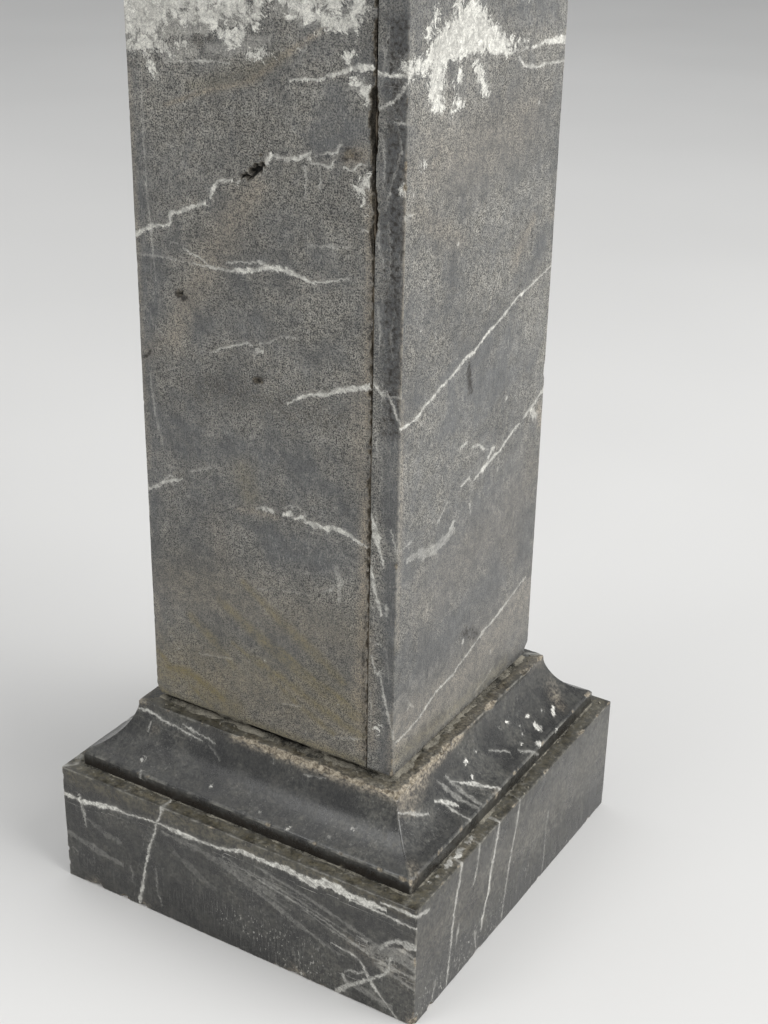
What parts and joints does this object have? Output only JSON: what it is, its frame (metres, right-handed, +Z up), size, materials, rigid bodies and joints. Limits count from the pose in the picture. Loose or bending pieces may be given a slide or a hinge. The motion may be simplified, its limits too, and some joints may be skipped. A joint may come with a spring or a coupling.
{
  "type": "pedestal column",
  "caption": "Square stone pedestal column: block plinth, coved base moulding, hollow shaft of glued slabs, and a coved cap under a flat square top.",
  "frame": {"origin": "centre of the plinth's underside, on the surface it stands on", "axes": "+Z up the column; the front face, where the right slab's edge shows as a narrow strip, looks to -Y; the full right face looks to +X"},
  "size_m": [0.3, 0.3, 1.0745],
  "materials": {
    "honed_marble": "worn honed black marble, white veins, fine pits and brown dirt",
    "polished_marble": "dulled polish on black marble with white veins",
    "mortar": "old gritty lime mortar"
  },
  "bodies": {
    "root": {"plinth": "polished_marble", "base_moulding": "polished_marble", "mortar_bed": "mortar", "shaft_right_slab": "honed_marble", "shaft_front_slab": "honed_marble", "shaft_back_slab": "honed_marble", "shaft_left_slab": "honed_marble", "cap_moulding": "honed_marble", "top_slab": "honed_marble"}
  },
  "joints": []
}
